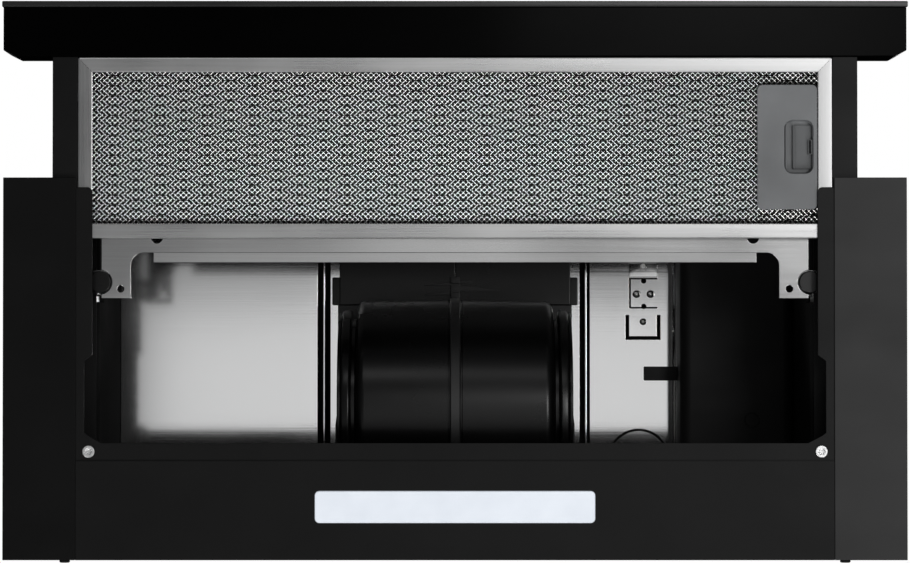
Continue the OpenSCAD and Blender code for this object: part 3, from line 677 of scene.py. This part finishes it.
def make_electronics_cover():
    low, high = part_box("electronics_cover")
    body_low = (158.6 * MM, low.y, low.z + 0.4 * MM)
    bm = bmesh.new()

    def low_or_upright(mid, lo, hi):
        return mid.z < hi.z - 1e-6

    add_box(bm, body_low, (high.x, high.y, high.z - 0.2 * MM), 8 * MM, 5, low_or_upright)
    add_box(bm, (low.x, -127 * MM, 190 * MM), (163 * MM, -117 * MM, high.z - 0.3 * MM), 0.6 * MM)
    finish_piece("electronics_box", mesh_from(bm, "electronics_box"), "dull_plastic",
                 "electronics_cover", ["electronics_cover"], 38)
    ring = bmesh.new()
    radius = 5 * MM
    spin(ring, [(0, radius - 0.5 * MM), (-0.25 * MM, radius), (0, radius + 0.5 * MM), (0.3 * MM, radius)],
         (209 * MM, -89.5 * MM, low.z + 0.4 * MM), "Z", 40)
    finish_piece("electronics_ring", mesh_from(ring, "electronics_ring"), "dull_plastic", "electronics_cover")


# ---------------------------------------------------------------- details of the lining

CEILING_Z = 195 * MM


def make_lining_details():
    """Rivets with a black ring round each head as painted shade, the seal around the cable inlet, and the
    fold beside the cover.
    """
    shade_rings_and_seal, heads, fold = bmesh.new(), bmesh.new(), bmesh.new()
    spots = ((129.5, -178.7, 1.6, 2.55), (139.5, -178.7, 1.6, 2.55), (134.2, -159, 1.2, 2.2))
    for x, y, inside, outside in spots:
        centre = Vector((x * MM, y * MM, CEILING_Z - 1 * MM))
        # The black ring round each rivet head is painted shade.
        spin(shade_rings_and_seal, [(0.2 * MM, inside * MM), (-0.25 * MM, inside * MM), (-0.25 * MM, outside * MM),
                       (0.2 * MM, outside * MM)], centre, "Z", 32)
        spin(heads, [(0.1 * MM, 0.02 * MM), (0.1 * MM, inside * MM), (-0.3 * MM, inside * MM),
                     (-0.7 * MM, inside * 0.7 * MM), (-0.9 * MM, inside * 0.3 * MM), (-0.92 * MM, 0.02 * MM)],
             centre, "Z", 32)
    centre = Vector((134.4 * MM, -198.4 * MM, CEILING_Z - 1.6 * MM))
    spin(heads, [(0.1 * MM, 0.02 * MM), (0.1 * MM, 1.95 * MM), (-0.2 * MM, 1.95 * MM), (-0.6 * MM, 1.5 * MM),
                 (-0.6 * MM, 0.9 * MM), (-0.1 * MM, 0.7 * MM), (-0.1 * MM, 0.02 * MM)], centre, "Z", 32)
    inlet = Vector((131.2 * MM, -60.6 * MM, CEILING_Z))
    spin(shade_rings_and_seal, [(0.3 * MM, 20.3 * MM), (-0.5 * MM, 20.3 * MM), (-0.8 * MM, 20.8 * MM),
                   (-0.8 * MM, 21.3 * MM), (-0.5 * MM, 21.8 * MM), (0.3 * MM, 21.8 * MM)], inlet, "Z", 96)
    profile = [(149.2, 194.9), (151.4, 194.9), (152.8, 195.0), (154.2, 195.15), (155.3, 195.2),
               (155.7, 194.6), (156.2, 194.1), (156.7, 193.9), (157.2, 194.1), (157.6, 194.7),
               (157.8, 195.4), (157.8, 196.2), (149.2, 196.2)]
    rows = [[fold.verts.new((x * MM, y * MM, z * MM)) for x, z in profile] for y in (-244, -60, -4)]
    count = len(profile)
    for row, following in zip(rows, rows[1:]):
        for i in range(count):
            j = (i + 1) % count
            fold.faces.new((row[i], row[j], following[j], following[i]))
    fold.faces.new(rows[0])
    fold.faces.new(rows[-1][::-1])
    finish_piece("lining_shade_rings_and_seal", mesh_from(shade_rings_and_seal, "lining_shade_rings_and_seal"), "rubber", "terminal_plate")
    finish_piece("lining_rivets", mesh_from(heads, "lining_rivets"), "zinc", "terminal_plate")
    finish_piece("lining_fold", mesh_from(fold, "lining_fold"), "lining", "terminal_plate", (), 40)


# ---------------------------------------------------------------- stage, light and camera

FLOOR_Z = -2.6
PANEL_Z = -2.5


def floor_material():
    g = Graph("floor")
    g.link(g.blend_colours(g.noise(1.5, 4), grey(0.72), grey(0.78)), g.shader.inputs["Base Color"])
    g.set(Roughness=0.85)
    return g.material


def make_stage():
    bm = bmesh.new()
    bmesh.ops.create_grid(bm, x_segments=8, y_segments=8, size=9.0)
    mesh = bpy.data.meshes.new("floor")
    bm.to_mesh(mesh)
    bm.free()
    floor = bpy.data.objects.new("floor", mesh)
    floor.location.z = FLOOR_Z
    mesh.materials.append(floor_material())
    bpy.context.scene.collection.objects.link(floor)


def area_light(name, place, target, size, radiance):
    """A rectangular lamp that faces its target; its power follows from how bright it looks."""
    light = bpy.data.lights.new(name, "AREA")
    light.shape = "RECTANGLE"
    light.size, light.size_y = size
    light.energy = radiance * math.pi * size[0] * size[1]
    obj = bpy.data.objects.new(name, light)
    obj.location = place
    direction = Vector(target) - Vector(place)
    obj.rotation_euler = direction.to_track_quat("-Z", "Y").to_euler()
    bpy.context.scene.collection.objects.link(obj)


def panel_light(name, x, y, radiance):
    """A level lamp under the hood that shines up, over the given ranges of X and Y."""
    middle = ((x[0] + x[1]) / 2, (y[0] + y[1]) / 2)
    size = (x[1] - x[0], y[1] - y[0])
    area_light(name, (*middle, PANEL_Z), (middle[0], middle[1] + 0.0001, 0), size, radiance)


def make_light():
    """Lamps light the object; the world is white to the camera only, as a backdrop."""
    world = bpy.data.worlds.new("studio")
    bpy.context.scene.world = world
    world.use_nodes = True
    tree = world.node_tree
    background = tree.nodes["Background"]
    background.inputs["Color"].default_value = (1, 1, 1, 1)
    background.inputs["Strength"].default_value = 1.0
    dim = tree.nodes.new("ShaderNodeBackground")
    dim.inputs["Color"].default_value = (0.9, 0.95, 1, 1)
    dim.inputs["Strength"].default_value = 0.05
    path = tree.nodes.new("ShaderNodeLightPath")
    mix = tree.nodes.new("ShaderNodeMixShader")
    tree.links.new(path.outputs["Is Camera Ray"], mix.inputs["Fac"])
    tree.links.new(dim.outputs["Background"], mix.inputs[1])
    tree.links.new(background.outputs["Background"], mix.inputs[2])
    tree.links.new(mix.outputs["Shader"], tree.nodes["World Output"].inputs["Surface"])
    panel_light("below", (-0.45, 0.5), (-0.21, 0.5), 0.44)
    panel_light("below_left", (-0.42, -0.2), (-0.36, -0.21), 0.05)
    panel_light("below_middle", (-0.14, 0.10), (-0.34, -0.21), 1.3)
    panel_light("front_right", (0.1, 0.6), (-1.0, -0.48), 3.4)
    panel_light("right", (0.8, 1.5), (-0.8, 0.1), 9.5)
    area_light("behind_left", (-1.7, 1.8, -2.0), (0.0, -0.2, 0.0), (1.2, 1.2), 9.0)
    area_light("behind_right", (1.7, 1.8, -2.0), (0.0, -0.2, 0.0), (1.2, 1.2), 9.0)
    area_light("front", (0.0, -1.9, -2.2), (0.0, -0.12, 0.1), (2.0, 0.35), 2.0)
    area_light("above", (0.6, -1.2, 2.2), (0.0, -0.15, 0.1), (1.8, 1.8), 2.0)


def make_camera():
    """Straight below the hood, a degree off square, with the front of the hood at the top of the picture."""
    camera = bpy.data.cameras.new("camera")
    camera.lens = 143.6
    camera.sensor_width = 36.0
    camera.clip_end = 50
    obj = bpy.data.objects.new("camera", camera)
    place = Vector((0.0, -0.1388, -2.4))
    target = Vector((0.0, -0.1841, 0.0))
    forward = (target - place).normalized()
    right = forward.cross(Vector((0, -1, 0))).normalized()
    up = right.cross(forward)
    obj.matrix_world = Matrix.Translation(place) @ Matrix((right, up, -forward)).transposed().to_4x4()
    bpy.context.scene.collection.objects.link(obj)
    bpy.context.scene.camera = obj
    bpy.context.scene.view_settings.view_transform = "Standard"


make_camera()
make_light()
make_stage()
dress_frame()
make_mesh()
make_filter_frame()
make_latch()
for side in (-1, 1):
    make_scroll(side)
make_seam()
make_electronics_cover()
make_lining_details()
